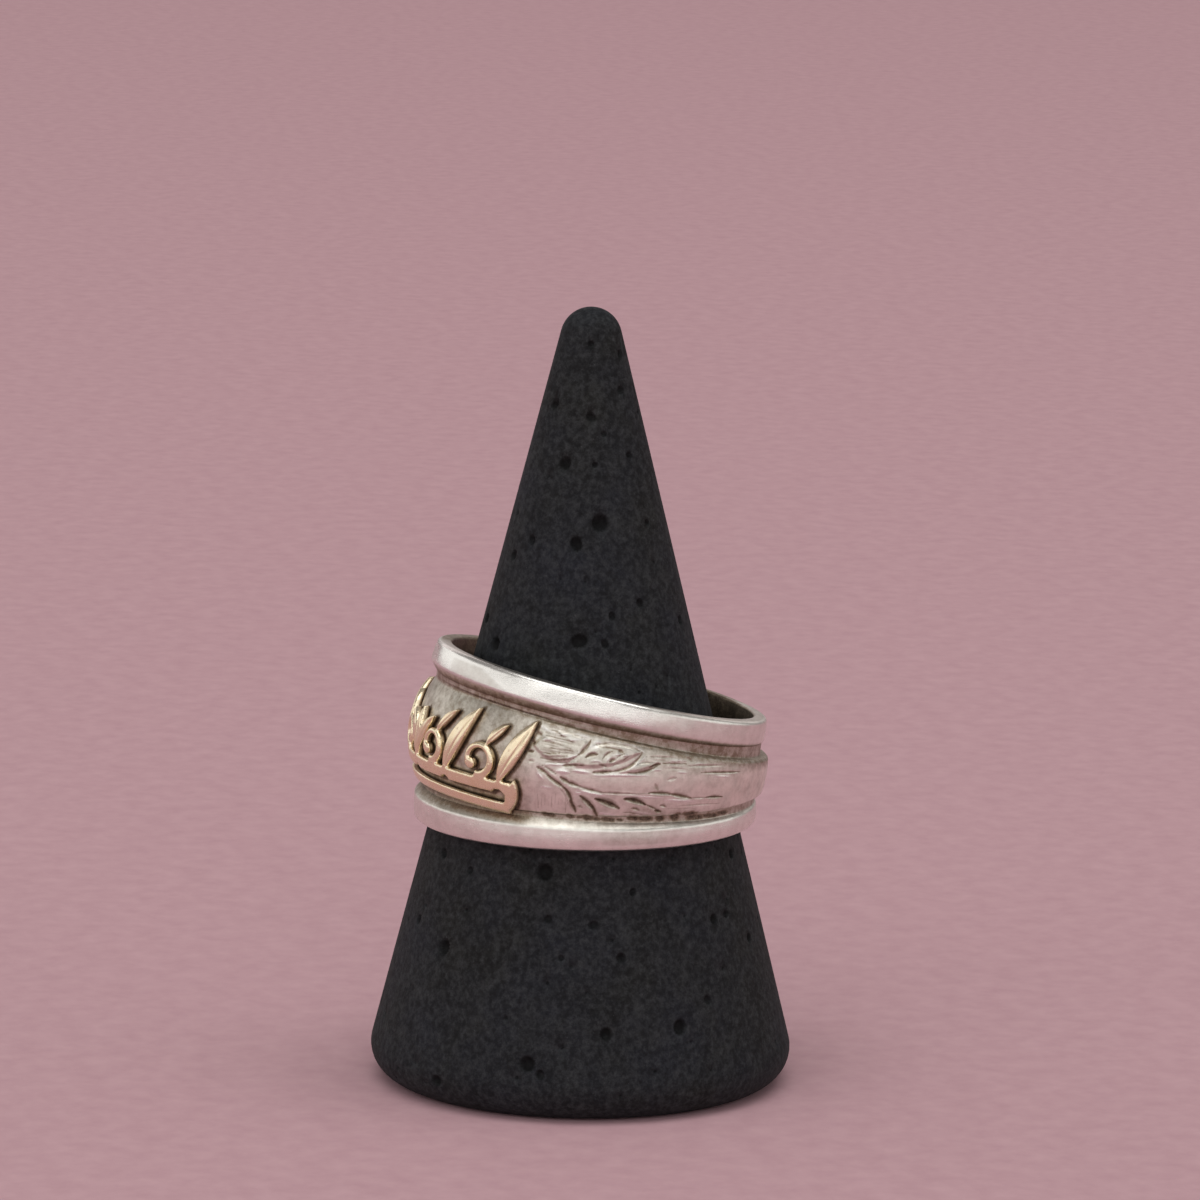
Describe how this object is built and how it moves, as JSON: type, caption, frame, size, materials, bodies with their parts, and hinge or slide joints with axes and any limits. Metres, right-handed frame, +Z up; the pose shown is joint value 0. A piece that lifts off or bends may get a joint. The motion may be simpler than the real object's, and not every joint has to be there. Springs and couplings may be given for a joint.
{
  "type": "name ring on a cone ring stand",
  "caption": "Wide finger ring, broader at the front, with two rails, a leaf-carved strip between them and a raised scroll across the front, resting on a plain round cone.",
  "frame": {"origin": "centre of the cone's foot, on the surface it stands on", "axes": "+Z up along the cone; -Y towards the ring's widest side, its front; X across the finger hole"},
  "size_m": [0.027, 0.027, 0.05],
  "materials": {
    "silver": "polished silver, darkened in the grooves and carving",
    "gold": "pale cast gold, softly polished",
    "stone": "matt dark cast stone with small pits"
  },
  "bodies": {
    "root": {"silver_band": "silver", "gold_scroll": "gold", "cone_stand": "stone"}
  },
  "joints": []
}
